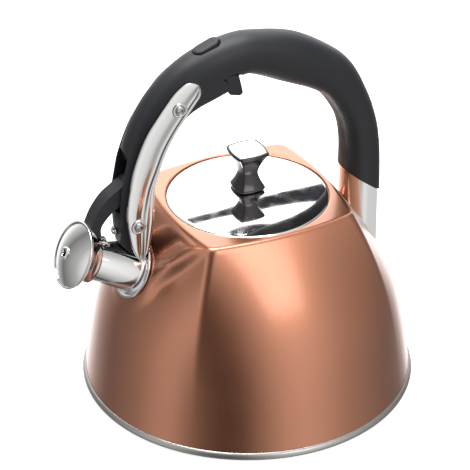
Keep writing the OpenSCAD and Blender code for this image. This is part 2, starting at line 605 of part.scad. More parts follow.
// ---------- Rear bracket ----------
bracket_x = 81.1;
bracket_r = 13.2;
bracket_t = 1.5;
bracket_back = 88.4;
tang_x = 81;
grip_screw_z = [150, 163];
module u_profile(r, back) {
    union() {
        circle(r);
        translate([0, -r]) square([back - bracket_x, 2 * r]);
    }
}
module rear_bracket() color(steel) {
    difference() {
        translate([bracket_x, 0, 80]) linear_extrude(70) difference() {
            u_profile(bracket_r, bracket_back);
            u_profile(bracket_r - bracket_t, bracket_back + 5);
            translate([-2, -bracket_r + bracket_t]) square([40, 2 * (bracket_r - bracket_t)]);
        }
        translate([rear_cut[0], 0, rear_cut[1] - 0.1]) rotate([0, rear_slope, 0])
            translate([-40, -30, 0]) cube([140, 60, 80]);
        body_block(0.15);
    }
}
foot_half = 8;
foot_lean = 30.5;        // lean of the wall behind the foot
foot_rivet_at = [92, 101];
function wall_at(z) = 78.5 + (101 - z) * tan(foot_lean);
module on_foot(z) {
    translate([wall_at(z) + 1.95, 0, z])
        rotate([0, 90 - foot_lean, 0])
            children();
}
module rear_foot() color(steel) {
    difference() {
        intersection() {
            translate([74, -foot_half, 86]) cube([16, 2 * foot_half, 22]);
            body_block(1.8);
        }
        body_block(0.15);
        for (z = foot_rivet_at) on_foot(z) translate([0, 0, -5]) cylinder(h = 20, r = 1.4 + gap / 2);
    }
}
module rear_tang() color(satin) {
    difference() {
        translate([tang_x - 1.5, -tang_half, 112]) cube([3, 2 * tang_half, 60]);
        body_block(2);
        for (z = grip_screw_z) translate([tang_x - 5, 0, z]) rotate([0, 90, 0])
            cylinder(h = 30, r = 1.5 + gap / 2);
    }
}
module foot_rivets() color(satin) {
    for (z = foot_rivet_at) on_foot(z) {
        cylinder(h = 1.4, r = 3.2);
        translate([0, 0, -1.4]) cylinder(h = 1.5, r = 1.4);
    }
}
module grip_screws() color(spring_steel) {
    for (z = grip_screw_z) translate([tang_x - 3.5, 0, z]) rotate([0, 90, 0]) {
        cylinder(h = 11.5, r = 1.5);
        translate([0, 0, 10.6]) cylinder(h = 1.8, r = 3);
    }
}

body_shell();
neck_ring();
base_pan();
heat_spreader();
induction_cap();
lid_shell();
lid_liner();
lid_skirt();
lid_knob();
knob_disc();
knob_screw();
knob_washer();
spout_collar();
spout_tube();
whistle_sleeve();
whistle_cap();
whistle_face();
whistle_hub();
whistle_rear_disc();
whistle_front_disc();
cap_clip();
whistle_arm();
arm_pin();
arm_spring();
cheek_near();
cheek_far();
cheek_screws();
leg_screw();
handle_grip();
mechanism_cover();
cover_screw();
trigger();
trigger_pin();
thumb_button();
button_spring();
push_link();
link_pin();
rear_bracket();
rear_foot();
rear_tang();
foot_rivets();
grip_screws();
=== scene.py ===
"""Looks of the stovetop whistling kettle: meshes, materials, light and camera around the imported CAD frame.
Lengths in the modelling code are millimetres in the CAD frame; the helpers turn them into metres."""
import json
import math

import bmesh
import bpy
import numpy as np
from mathutils import Matrix, Vector


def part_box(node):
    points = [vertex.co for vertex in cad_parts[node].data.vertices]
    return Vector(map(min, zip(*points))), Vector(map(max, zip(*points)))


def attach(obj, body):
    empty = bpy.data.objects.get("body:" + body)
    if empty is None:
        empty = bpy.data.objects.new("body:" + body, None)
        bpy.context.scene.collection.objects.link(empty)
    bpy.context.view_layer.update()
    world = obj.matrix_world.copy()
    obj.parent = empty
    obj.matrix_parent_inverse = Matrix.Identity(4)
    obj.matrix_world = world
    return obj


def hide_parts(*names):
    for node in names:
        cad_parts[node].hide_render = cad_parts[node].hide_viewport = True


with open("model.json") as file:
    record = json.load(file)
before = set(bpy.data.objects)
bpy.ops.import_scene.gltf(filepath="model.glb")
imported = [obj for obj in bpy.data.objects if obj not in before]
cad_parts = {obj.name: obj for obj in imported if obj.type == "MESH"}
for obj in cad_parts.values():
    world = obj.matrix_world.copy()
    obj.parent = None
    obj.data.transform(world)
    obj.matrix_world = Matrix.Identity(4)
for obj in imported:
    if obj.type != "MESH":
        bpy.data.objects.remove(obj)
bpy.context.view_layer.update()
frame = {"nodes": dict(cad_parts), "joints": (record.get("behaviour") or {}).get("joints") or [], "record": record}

MM = 0.001
joint_at = {j["name"]: [v / MM for v in j["pos_m"]] for j in frame["joints"] if "pos_m" in j}
ARM_PIVOT = joint_at["arm_swing"]
LEVER_PIVOT = joint_at["trigger_pull"]


# ---------- Materials ----------
def material(name, color, metallic, roughness, coat=0.0, coat_roughness=0.1, sheen=0.0, specular=0.5):
    m = bpy.data.materials.new(name)
    m.use_nodes = True
    b = m.node_tree.nodes["Principled BSDF"]
    b.inputs["Base Color"].default_value = (*color, 1)
    b.inputs["Metallic"].default_value = metallic
    b.inputs["Roughness"].default_value = roughness
    b.inputs["Specular IOR Level"].default_value = specular
    b.inputs["Coat Weight"].default_value = coat
    b.inputs["Coat Roughness"].default_value = coat_roughness
    b.inputs["Sheen Weight"].default_value = sheen
    b.inputs["Sheen Roughness"].default_value = 0.4
    return m


def noise(m, scale, stretch=(1, 1, 1), detail=3.0):
    """A noise texture in object space, in cycles per metre, stretched along the axes."""
    n = m.node_tree
    tex = n.nodes.new("ShaderNodeTexNoise")
    tex.inputs["Scale"].default_value = scale
    tex.inputs["Detail"].default_value = detail
    co = n.nodes.new("ShaderNodeTexCoord")
    mp = n.nodes.new("ShaderNodeMapping")
    mp.inputs["Scale"].default_value = stretch
    n.links.new(co.outputs["Object"], mp.inputs["Vector"])
    n.links.new(mp.outputs["Vector"], tex.inputs["Vector"])
    return tex.outputs["Fac"]


def spread(m, fac, low, high):
    """The noise value fac spread between two numbers."""
    r = m.node_tree.nodes.new("ShaderNodeMapRange")
    r.inputs["From Min"].default_value = 0.3
    r.inputs["From Max"].default_value = 0.7
    r.inputs["To Min"].default_value = low
    r.inputs["To Max"].default_value = high
    m.node_tree.links.new(fac, r.inputs["Value"])
    return r.outputs["Result"]


def vary_roughness(m, fac, low, high):
    m.node_tree.links.new(spread(m, fac, low, high), m.node_tree.nodes["Principled BSDF"].inputs["Roughness"])


def vary_color(m, fac, dark, light):
    n = m.node_tree
    ramp = n.nodes.new("ShaderNodeValToRGB")
    ramp.color_ramp.elements[0].position = 0.3
    ramp.color_ramp.elements[0].color = (*dark, 1)
    ramp.color_ramp.elements[1].position = 0.7
    ramp.color_ramp.elements[1].color = (*light, 1)
    n.links.new(fac, ramp.inputs["Fac"])
    n.links.new(ramp.outputs["Color"], n.nodes["Principled BSDF"].inputs["Base Color"])


def add_bump(m, fac, strength, distance):
    n = m.node_tree
    bump = n.nodes.new("ShaderNodeBump")
    bump.inputs["Strength"].default_value = strength
    bump.inputs["Distance"].default_value = distance
    n.links.new(fac, bump.inputs["Height"])
    n.links.new(bump.outputs["Normal"], n.nodes["Principled BSDF"].inputs["Normal"])


def copper_coat():
    m = material("copper_coat", (0.575, 0.215, 0.106), 1.0, 0.3, coat=1.0, coat_roughness=0.16)
    m.node_tree.nodes["Principled BSDF"].inputs["Coat IOR"].default_value = 1.7
    vary_roughness(m, noise(m, 55, detail=4), 0.28, 0.32)
    vary_color(m, noise(m, 9), (0.565, 0.209, 0.102), (0.585, 0.221, 0.111))
    add_bump(m, noise(m, 2600, detail=1), 0.05, 0.00002)
    return m


def polished_steel():
    m = material("polished_steel", (0.86, 0.855, 0.845), 1.0, 0.06)
    vary_roughness(m, noise(m, 160, (1, 1, 0.2), 5), 0.035, 0.1)
    add_bump(m, noise(m, 1400, (1, 1, 0.12), 2), 0.03, 0.00001)
    return m


def satin_steel():
    m = material("satin_steel", (0.52, 0.50, 0.48), 1.0, 0.34)
    vary_roughness(m, noise(m, 900, (0.15, 0.15, 6), 3), 0.26, 0.42)
    add_bump(m, noise(m, 2600, (0.1, 0.1, 1), 2), 0.12, 0.00003)
    return m


def plain_steel():
    m = material("plain_steel", (0.62, 0.61, 0.60), 1.0, 0.22)
    vary_roughness(m, noise(m, 1500), 0.16, 0.3)
    add_bump(m, noise(m, 3000), 0.08, 0.00002)
    return m


def core_aluminium():
    m = material("core_aluminium", (0.72, 0.73, 0.75), 1.0, 0.4)
    vary_roughness(m, noise(m, 400), 0.34, 0.5)
    return m


def gloss_knob():
    m = material("gloss_knob", (0.020, 0.013, 0.015), 0.0, 0.16, coat=0.6, coat_roughness=0.05)
    vary_roughness(m, noise(m, 220), 0.12, 0.2)
    add_bump(m, noise(m, 500), 0.04, 0.00004)
    return m


def soft_plastic():
    m = material("soft_plastic", (0.015, 0.016, 0.020), 0.0, 0.46, sheen=0.05)
    vary_roughness(m, noise(m, 60, detail=4), 0.44, 0.54)
    vary_color(m, noise(m, 30, detail=4), (0.013, 0.014, 0.018), (0.018, 0.019, 0.024))
    add_bump(m, noise(m, 3800, detail=2), 0.16, 0.00005)
    return m


MATERIALS = {make.__name__: make() for make in (copper_coat, polished_steel, satin_steel, plain_steel,
                                                core_aluminium, gloss_knob, soft_plastic)}


# ---------- Mesh helpers ----------
def shade(bm, sharp):
    """Smooth shading, with the edges over sharp degrees kept crisp."""
    limit = math.radians(sharp)
    for f in bm.faces:
        f.smooth = True
    for e in bm.edges:
        e.smooth = not (len(e.link_faces) == 2 and e.calc_face_angle(0) > limit)


def finish_mesh(bm, name, slot, body, replaces, sharp=32):
    """Welds, orients and shades a mesh, and hands it to its CAD body."""
    bmesh.ops.remove_doubles(bm, verts=bm.verts, dist=1e-6)
    bmesh.ops.recalc_face_normals(bm, faces=bm.faces)
    shade(bm, sharp)
    mesh = bpy.data.meshes.new(name)
    bm.to_mesh(mesh)
    bm.free()
    obj = bpy.data.objects.new(name, mesh)
    bpy.context.scene.collection.objects.link(obj)
    obj.data.materials.append(MATERIALS[slot])
    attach(obj, body)
    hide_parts(*replaces)
    return obj


def add_rings(bm, rings, ring_closed=True, loop=False, caps=False, matrix=None):
    """Faces between neighbouring rings of points, in millimetres."""
    matrix = matrix or Matrix.Identity(4)
    rows = [[bm.verts.new(matrix @ (Vector(p) * MM)) for p in ring] for ring in rings]
    n, m = len(rows[0]), len(rows)
    for i in range(m if loop else m - 1):
        a, b = rows[i], rows[(i + 1) % m]
        for j in range(n if ring_closed else n - 1):
            k = (j + 1) % n
            bm.faces.new((a[j], a[k], b[k], b[j]))
    if caps:
        bm.faces.new(rows[0])
        bm.faces.new(list(reversed(rows[-1])))


def rounded(points, radius, steps=4):
    """A closed outline with its corners rounded; radius is one number or one per corner."""
    out, n = [], len(points)
    for i, p in enumerate(points):
        r = radius[i] if isinstance(radius, (list, tuple)) else radius
        p, a, b = np.array(p, float), np.array(points[i - 1], float), np.array(points[(i + 1) % n], float)
        u, v = a - p, b - p
        lu, lv = np.linalg.norm(u), np.linalg.norm(v)
        if r <= 0 or min(lu, lv) < 1e-6:
            out.append(tuple(p))
            continue
        u, v = u / lu, v / lv
        half = math.acos(max(-1, min(1, float(u @ v)))) / 2
        if half > math.radians(88):
            out.append(tuple(p))
            continue
        d = min(r / math.tan(half), 0.45 * lu, 0.45 * lv)
        s, e = p + u * d, p + v * d
        for k in range(steps + 1):
            t = k / steps
            out.append(tuple((1 - t) ** 2 * s + 2 * t * (1 - t) * p + t * t * e))
    return out


def lathe(bm, outline, segments=96, matrix=None):
    """A closed outline of (radius, height) turned about the Z axis of matrix."""
    rings = []
    for i in range(segments):
        a = 2 * math.pi * i / segments
        rings.append([(r * math.cos(a), r * math.sin(a), z) for r, z in outline])
    add_rings(bm, rings, loop=True, matrix=matrix)


def turned(name, outline, slot, body, replaces, radius=0, segments=96, matrix=None):
    bm = bmesh.new()
    lathe(bm, rounded(outline, radius), segments, matrix)
    finish_mesh(bm, name, slot, body, replaces)


def plate(bm, outline, y0, y1, bevel=0.5, segments=3):
    """A flat piece across the handle: an outline of (x, z) between two y values, with rounded edges."""
    part = bmesh.new()
    lower = [part.verts.new((x * MM, y0 * MM, z * MM)) for x, z in outline]
    upper = [part.verts.new((x * MM, y1 * MM, z * MM)) for x, z in outline]
    n = len(outline)
    for i in range(n):
        part.faces.new((lower[i], lower[(i + 1) % n], upper[(i + 1) % n], upper[i]))
    part.faces.new(list(reversed(lower)))
    part.faces.new(upper)
    if bevel:
        rim = [e for e in part.edges if len({round(v.co.y, 7) for v in e.verts}) == 1]
        bmesh.ops.bevel(part, geom=rim, offset=bevel * MM, segments=segments, profile=0.5, affect="EDGES",
                        clamp_overlap=True)
    merge(bm, part)


def merge(bm, part):
    """Adds one mesh to another and frees it."""
    mesh = bpy.data.meshes.new("part")
    part.to_mesh(mesh)
    part.free()
    bm.from_mesh(mesh)
    bpy.data.meshes.remove(mesh)


def arc_points(x, z, r, low, high, count):
    """Points on a circle about (x, z), between two angles in degrees."""
    return [(x + r * math.cos(a), z + r * math.sin(a)) for a in np.radians(np.linspace(low, high, count))]


def full_circle(x, z, r, count):
    turn = np.linspace(0, 2 * math.pi, count, endpoint=False)
    return [(x + r * math.cos(a), z + r * math.sin(a)) for a in turn]


def across(bm, x, z, r, y0, y1):
    """A round bar across the handle."""
    plate(bm, full_circle(x, z, r, 32), y0, y1, bevel=0)


def cut(obj, cutter_bm, sharp=32, overlapping=True):
    """Takes the cutter's volume out of obj's mesh, which may be several shells that overlap."""
    mesh = bpy.data.meshes.new("cutter")
    bmesh.ops.recalc_face_normals(cutter_bm, faces=cutter_bm.faces)
    cutter_bm.to_mesh(mesh)
    cutter_bm.free()
    tool = bpy.data.objects.new("cutter", mesh)
    bpy.context.scene.collection.objects.link(tool)
    mod = obj.modifiers.new("cut", "BOOLEAN")
    mod.operation, mod.solver, mod.object = "DIFFERENCE", "EXACT", tool
    mod.use_self = overlapping
    bpy.context.view_layer.update()
    result = bpy.data.meshes.new_from_object(obj.evaluated_get(bpy.context.evaluated_depsgraph_get()))
    obj.modifiers.clear()
    old, obj.data = obj.data, result
    result.name = old.name
    bpy.data.meshes.remove(old)
    bpy.data.objects.remove(tool)
    bpy.data.meshes.remove(mesh)
    bm = bmesh.new()
    bm.from_mesh(obj.data)
    bmesh.ops.remove_doubles(bm, verts=bm.verts, dist=2e-6)
    bmesh.ops.dissolve_degenerate(bm, edges=bm.edges, dist=2e-6)
    shade(bm, sharp)
    bm.to_mesh(obj.data)
    bm.free()


def cut_plate(obj, outline, half_width, sharp=40):
    """Cuts a straight-sided slot across the handle."""
    tool = bmesh.new()
    plate(tool, outline, -half_width, half_width, bevel=0)
    cut(obj, tool, sharp)


def bez(p, t):
    """A point of a cubic Bezier curve."""
    return p[0] * (1 - t) ** 3 + 3 * p[1] * t * (1 - t) ** 2 + 3 * p[2] * t * t * (1 - t) + p[3] * t ** 3


def smooth(low, high, x):
    """0 below low, 1 above high, and an even S between."""
    t = min(1.0, max(0.0, (x - low) / (high - low)))
    return t * t * (3 - 2 * t)


def spline(stations, steps):
    """A Catmull-Rom line through the stations."""
    s = [np.array(p, float) for p in stations]
    out = []
    for i in range(len(s) - 1):
        a, b, c, d = s[max(i - 1, 0)], s[i], s[i + 1], s[min(i + 2, len(s) - 1)]
        for j in range(steps):
            t = j / steps
            out.append(0.5 * (2 * b + (c - a) * t + (2 * a - 5 * b + 4 * c - d) * t * t
                              + (3 * b - a - 3 * c + d) * t ** 3))
    out.append(s[-1])
    return out


# ---------- Body ----------
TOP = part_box("body_shell")[1].z / MM
BASE_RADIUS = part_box("body_shell")[1].x / MM
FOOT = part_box("body_shell")[0].z / MM
SHOULDER_MID, SHOULDER_CORNER, FILLET, LEAN = 57.0, 0.25, 4.0, 37.0
SHOULDER_Z = TOP - FILLET * (1 - math.sin(math.radians(LEAN)))
MOUTH, NECK = 53.0, 48.0
SPOUT_TILT = 26.5
SPOUT_X, SPOUT_Z = -80.8, 100.4
HOLE = 13.2
TILT_COS, TILT_SIN = math.cos(math.radians(SPOUT_TILT)), math.sin(math.radians(SPOUT_TILT))


def bowed_radius(mid, corner, r, deg):
    """Distance from the axis to a square with bowed sides and round corners."""
    th = math.radians(abs((deg + 45) % 90 - 45))
    s, w = (corner - r) / math.sqrt(2), mid - r
    a = (2 * s * s - 2 * s * w + w * w) / (2 * (w - s))
    cx = w - a
    phi = math.asin(min(1.0, s / a))
    join = math.atan2(s + r * math.sin(phi), s + r * math.cos(phi))
    if th < join:
        return cx * math.cos(th) + math.sqrt((a + r) ** 2 - (cx * math.sin(th)) ** 2)
    return s * (math.cos(th) + math.sin(th)) + math.sqrt(r * r - (s * (math.sin(th) - math.cos(th))) ** 2)


def bowed_ring(mid, corner, r, z, angles):
    out = []
    for a in angles:
        d = bowed_radius(mid, corner, r, a)
        out.append((d * math.cos(math.radians(a)), d * math.sin(math.radians(a)), z))
    return out


def faired(p, g):
    """Pulls the wall out to the spout's flat seat and to the fairing above it."""
    x, y, z = p
    if x > 0 or z > SHOULDER_Z + 0.01:
        return p
    knee, knee_x = SPOUT_Z + 18 * TILT_COS, SPOUT_X + 18 * TILT_SIN
    if z < knee:
        target = SPOUT_X + (z - SPOUT_Z) * TILT_SIN / TILT_COS + 0.12
    else:
        target = knee_x + (z - knee) / (SHOULDER_Z - knee) * (-SHOULDER_MID - 0.8 - knee_x)
    v, top = (z - SPOUT_Z) / TILT_COS, (SHOULDER_Z - SPOUT_Z) / TILT_COS
    reach = 21.5 - math.hypot(y, v) if v < 0 else 21.5 + 21.5 * v / top - abs(y)
    m = smooth(-9, 2, reach) * smooth(0, 4, SHOULDER_Z + 2 - z)
    return (min(x, x * (1 - m) + (target - g) * m), y, z)


def body_angles():
    quarter = np.concatenate([np.arange(0, 36, 2.0), np.arange(36, 54.1, 0.75), np.arange(56, 90, 2.0)])
    ring = np.concatenate([quarter + 90 * k for k in range(4)])
    front = np.arange(145.5, 215, 0.75)
    return np.unique(np.round(np.concatenate([ring, front]), 3))


def wall_at(t, g):
    """Middle and corner distances, corner radius and height of the wall, t of the way up, moved out by g."""
    z = bez((FOOT, 58, 75, SHOULDER_Z), t)
    h = max(0.0, (z - FOOT) / (SHOULDER_Z - FOOT))
    m = bez((BASE_RADIUS, 100.5, 99, SHOULDER_MID), t)
    return m + g, m * (1.0008 + SHOULDER_CORNER * h ** 3) + g, min(7 + 45 * (1 - h) ** 2, m - 5) + g, z


def body_rings(angles, g, steps, plain=False):
    """Rings from the foot to the flat top; a plain wall has no fairing for the spout."""
    def shaped(ring):
        return ring if plain else [faired(p, g) for p in ring]

    rings = []
    for i in range(steps + 1):
        rings.append(shaped(bowed_ring(*wall_at(i / steps, g), angles)))
    for a in np.linspace(LEAN, 90, 9)[1:]:
        ca, sa = math.cos(math.radians(a)), math.sin(math.radians(a))
        inset = FILLET * (math.cos(math.radians(LEAN)) - ca) - g * ca
        m, c = SHOULDER_MID - inset, SHOULDER_MID * (1 + SHOULDER_CORNER) - inset
        z = SHOULDER_Z + FILLET * (sa - math.sin(math.radians(LEAN))) + g * sa
        rings.append(shaped(bowed_ring(m, c, 7 - inset, z, angles)))
    return rings


def circle_ring(r, z, angles):
    return [(r * math.cos(math.radians(a)), r * math.sin(math.radians(a)), z) for a in angles]


def mix(a, b, t):
    return [tuple((1 - t) * np.array(p) + t * np.array(q)) for p, q in zip(a, b)]


SPOUT_FRAME = Matrix.Translation(Vector((SPOUT_X, 0, SPOUT_Z)) * MM) @ Matrix.Rotation(
    math.radians(SPOUT_TILT - 90), 4, "Y")


def spout_point(s, r):
    """A point of the middle plane: s along the spout, r above its axis."""
    return (SPOUT_X - s * TILT_COS + r * TILT_SIN, SPOUT_Z + s * TILT_SIN + r * TILT_COS)


def build_body():
    angles = body_angles()
    outer = body_rings(angles, 0, 64)
    lip = circle_ring(MOUTH + 0.5, TOP, angles)
    rings = outer + [mix(outer[-1], lip, t) for t in (0.08, 0.3, 0.6, 0.9)] + [lip]
    rings += [circle_ring(r, z, angles) for r, z in (
        (MOUTH + 0.15, TOP - 0.15), (MOUTH, TOP - 0.5), (MOUTH, TOP - 2.6), (MOUTH - 0.2, TOP - 2.8),
        (NECK + 0.4, TOP - 2.8), (NECK, TOP - 3.2), (NECK, TOP - 11.6), (NECK + 0.5, TOP - 12),
        (NECK + 1, TOP - 11.6), (NECK + 1, TOP - 3.9), (MOUTH + 0.9, TOP - 3.8), (MOUTH + 1, TOP - 1.1))]
    rings += list(reversed(body_rings(angles, -1, 40, plain=True)))
    bm = bmesh.new()
    add_rings(bm, rings, loop=True)
    obj = finish_mesh(bm, "kettle_body", "copper_coat", "kettle", ["body_shell", "neck_ring"], sharp=60)
    hole = bmesh.new()
    lathe(hole, [(0.001, -20), (HOLE, -20), (HOLE, 20), (0.001, 20)], 96, SPOUT_FRAME)
    cut(obj, hole, sharp=60, overlapping=False)


def build_base():
    bead_r, bead_z = 2.9, 3.9
    centre = BASE_RADIUS + 1.98 - bead_r
    bead = [(centre + bead_r * math.cos(a), bead_z + bead_r * math.sin(a))
            for a in np.linspace(-math.pi * 0.62, math.pi * 0.72, 22)]
    outline = bead + [(centre - 2.0, 4.25), (2, 4.25), (2, 3.45), (centre - 2.0, 3.45)]
    turned("base_rim", outline, "satin_steel", "kettle", ["base_pan"], segments=160)
    capsule = [(0.5, 0.0), (86.6, 0.0), (88, 1.2), (88, 3.3), (0.5, 3.3)]
    turned("base_capsule", capsule, "satin_steel", "kettle", ["induction_cap", "heat_spreader"],
           radius=[0, 0.6, 0.6, 0.2, 0], segments=160)


# ---------- Lid ----------
def build_lid():
    rise, radius, sheet = 6.0, 52.5, 0.8
    edge = TOP - 0.4
    dome_r = (radius ** 2 + rise ** 2) / (2 * rise)
    centre = edge + rise - dome_r
    top = [(r, centre + math.sqrt(dome_r ** 2 - r * r)) for r in np.linspace(2.2, radius - 1.2, 40)]
    under = [(r, centre + math.sqrt((dome_r - sheet) ** 2 - r * r)) for r in np.linspace(radius - 1.6, 2.2, 30)]
    rim = [(radius - 0.45, edge), (radius - 0.1, edge - 0.25), (radius, edge - 0.7), (radius, TOP - 2.75),
           (radius - sheet, TOP - 2.75), (radius - sheet, edge - 1.1)]
    turned("lid_dome", top + rim + under, "polished_steel", "lid", ["lid_shell"], segments=160)
    return edge + rise


def knob_ring(m, z):
    return bowed_ring(m, m * 1.2, m * 0.22, z, np.arange(0, 360, 2.5))


def build_knob(lid_top):
    base = lid_top + 0.05
    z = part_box("lid_knob")[1].z / MM
    height = z - base
    foot, neck, top = 9.9, 5.7, 12.0
    waist = 0.42

    def side(t):
        if t < waist:
            return neck + (foot - neck) * (1 - t / waist) ** 1.55
        return neck + (top - neck) * ((t - waist) / (1 - waist)) ** 1.5

    rings = [knob_ring(foot - inset, base + lift) for inset, lift in ((1.3, 0.35), (0.5, 0.75), (0.1, 1.3))]
    rings += [knob_ring(side(t), base + 2.0 + (height - 3.4) * t) for t in np.linspace(0, 1, 34)]
    rings += [knob_ring(top - inset, z - drop) for inset, drop in (
        (0.08, 0.7), (0.35, 0.25), (0.75, 0.02), (1.15, 0), (1.4, 0.2), (1.4, 0.8))]
    bm = bmesh.new()
    add_rings(bm, rings, caps=True)
    finish_mesh(bm, "knob", "gloss_knob", "lid", ["lid_knob"], sharp=50)
    bm = bmesh.new()
    disc = [knob_ring(top - inset, z - drop) for inset, drop in ((1.45, 0.75), (1.45, 0.3), (1.7, 0.1))]
    disc += [knob_ring((top - 1.9) * k, z - 0.06 - 0.5 * (1 - k * k)) for k in (1, 0.8, 0.6, 0.4, 0.2, 0.04)]
    add_rings(bm, disc, caps=True)
    finish_mesh(bm, "knob_plate", "polished_steel", "lid", ["knob_disc"], sharp=50)
    seat = [(2.3, base), (7.5, base), (7.5, base + 0.4), (2.3, base + 0.4)]
    turned("knob_seat", seat, "polished_steel", "lid", ["knob_washer"], radius=0.12, segments=64)


# ---------- Spout and whistle ----------
TUBE_ROOT, TUBE_TIP, TUBE_LENGTH = 15.4, 13.3, 39.0
SLEEVE_IN, SLEEVE_OUT, SLEEVE_S, RIM_S, CAP_R = 14.5, 15.3, 34.0, 46.4, 22.0


def on_spout(name, outline, body, replaces, radius=0, segments=128):
    """A polished piece turned about the spout's axis."""
    turned(name, outline, "polished_steel", body, replaces, radius, segments, SPOUT_FRAME)


def build_spout():
    flare = [(TUBE_ROOT + 3.2 * (1 - math.cos(a)), 1.1 + 3.6 * (1 - math.sin(a)))
             for a in np.radians(np.linspace(82, 0, 12))]
    outline = [(HOLE, 0.05), (18.4, 0.05), (18.75, 0.3), (18.75, 0.8), (18.5, 1.05)] + flare
    outline += [(TUBE_TIP, TUBE_LENGTH - 0.5), (TUBE_TIP - 0.15, TUBE_LENGTH - 0.1),
                (TUBE_TIP - 0.45, TUBE_LENGTH), (TUBE_TIP - 0.9, TUBE_LENGTH - 0.1), (HOLE, 6)]
    on_spout("spout_pipe", outline, "kettle", ["spout_tube"])
    bead_r = 1.15
    ring = [(19.2 + bead_r * math.cos(a), 1.25 + bead_r * math.sin(a))
            for a in np.linspace(0, 2 * math.pi, 20)[:-1]]
    on_spout("spout_ring", ring, "kettle", ["spout_collar"])


def build_whistle():
    sleeve_end = SLEEVE_S + 11
    sleeve = [(SLEEVE_IN, SLEEVE_S), (SLEEVE_OUT, SLEEVE_S), (SLEEVE_OUT, sleeve_end), (SLEEVE_IN, sleeve_end)]
    on_spout("whistle_slip_ring", sleeve, "cap_arm", ["whistle_sleeve"], radius=0.3)
    n = 18
    flare_r, flare_s = (16.1, 16.5, 19.4, CAP_R - 0.15), (36.4, 40, RIM_S - 3.2, RIM_S - 0.9)
    profile = [(bez(flare_r, t / n), bez(flare_s, t / n))
               for t in range(n + 1)]
    rolled = [(CAP_R - 0.75 + 0.75 * math.cos(a), RIM_S + 0.1 + 0.8 * math.sin(a))
              for a in np.radians(np.linspace(-40, 170, 14))]
    outline = [(15.35, 34.4), (15.9, 34.25), (16.15, 34.7)] + profile + rolled
    outline += [(CAP_R - 1.5, RIM_S - 0.6), (CAP_R - 4, RIM_S - 2.6), (15.35, RIM_S - 5.6)]
    on_spout("whistle_bell", outline, "cap_arm", ["whistle_cap"])

    rise, sheet = 6.0, 0.7

    def face_s(r):
        return RIM_S + 0.15 + rise * (1 - (r / (CAP_R - 1.7)) ** 1.9)

    rs = np.linspace(3.25, CAP_R - 1.75, 26)
    outline = [(r, face_s(r)) for r in rs] + [(r, face_s(r) - sheet) for r in rs[::-1]]
    on_spout("whistle_front", outline, "cap_arm", ["whistle_face"])
    hub = RIM_S + 0.1 + rise
    eyelet = [(1.8, hub - 7), (3.15, hub - 7), (3.15, hub - 0.1), (4.3, hub - 0.1), (4.3, hub + 0.5),
              (3.4, hub + 1.2), (2.3, hub + 1.0)]
    on_spout("whistle_eyelet", eyelet, "cap_arm", ["whistle_hub"], radius=[0.1, 0.1, 0.1, 0.3, 0.4, 0.5, 0.5],
             segments=64)


def build_arm():
    px, _, pz = ARM_PIVOT
    clip = SLEEVE_OUT + 1
    top = spline([spout_point(RIM_S - 1.4, CAP_R - 0.6), (-111.9, 140.5), (-107.6, 149.6), (-101, 158),
                  (-93.5, 163.4), (px + 6.5 * math.cos(2.1), pz + 6 * math.sin(2.1))], 6)
    hub = arc_points(px, pz, 6, 110, -100, 16)
    under = spline([(-90, 153.2), (-96, 149.4), (-101.2, 144.6), (-104.9, 139.4),
                    spout_point(SLEEVE_S + 2.6, clip + 2.6)], 6)
    foot = [spout_point(SLEEVE_S + 2.5, clip + 1.4), spout_point(SLEEVE_S + 4.6, clip + 1.35),
            spout_point(SLEEVE_S + 6.8, clip + 2.2)]
    bm = bmesh.new()
    plate(bm, foot + top + hub + under, -5.6, 5.6, bevel=1.1, segments=4)
    horn = [(-77.6, 165.2), (-72.4, 164.6), (-71.6, 163.6), (-72.6, 161.2), (-78, 159)]
    plate(bm, horn, -2.3, 2.3, bevel=0.4)
    obj = finish_mesh(bm, "whistle_lever_arm", "soft_plastic", "cap_arm", ["whistle_arm"], sharp=38)
    bore = bmesh.new()
    across(bore, px, pz, 1.56, -8, 8)
    cut(obj, bore, sharp=38)


def build_cap_tab():
    """The small curved tab between the sleeve and the foot of the arm."""
    inner = SLEEVE_OUT + 1
    s0, s1 = SLEEVE_S - 3.2, SLEEVE_S + 3.0
    shape = [(s0, inner + 0.1), (s0 + 0.3, inner), (s1, inner), (s1, inner + 1.2), (s0 + 0.5, inner + 1.2),
             (s0, inner + 0.8)]
    turns = np.radians(np.linspace(-24, 24, 13))
    bm = bmesh.new()
    add_rings(bm, [[(r * math.cos(a), r * math.sin(a), s) for s, r in shape] for a in turns], caps=True,
              matrix=SPOUT_FRAME)
    finish_mesh(bm, "cap_tab", "polished_steel", "cap_arm", ["cap_clip"], sharp=40)


# ---------- Handle ----------
# Along the middle of the arch, from the spout to the rear: x, z, half depth, half width
STATIONS = [
    (-79, 96, 9, 9.5), (-80.5, 118, 10.6, 10.6), (-81.8, 137, 11.8, 11.2), (-81.8, 151, 11.8, 11.3),
    (-79.8, 166, 11.7, 11.4), (-75.2, 184, 12.2, 11.6), (-68, 201, 12.8, 11.8), (-57.5, 215.5, 13.3, 12),
    (-43.5, 227.5, 13.5, 12.3), (-27, 235, 13.5, 13.2), (-10, 238.3, 13.5, 13.5), (3, 237.6, 13.7, 13.5),
    (27, 229.2, 16.2, 14.5), (50, 216.5, 15, 14.2), (62, 205.8, 14, 13.5), (72.5, 187.3, 12.6, 12.8),
    (77.5, 173.5, 12.4, 12.7), (80, 160, 12.8, 13), (81, 146, 13.2, 13.3), (81.1, 126, 13.5, 13.5),
    (81.1, 106, 13.5, 13.5)]
REAR_X, REAR_HALF = 81.1, 13.5
REAR_CUT, REAR_SLOPE = (66.0, 139.4), math.tan(math.radians(38))


def rear_line(x):
    """Height of the slanted end of the grip over a point of the middle plane."""
    return REAR_CUT[1] - (x - REAR_CUT[0]) * REAR_SLOPE


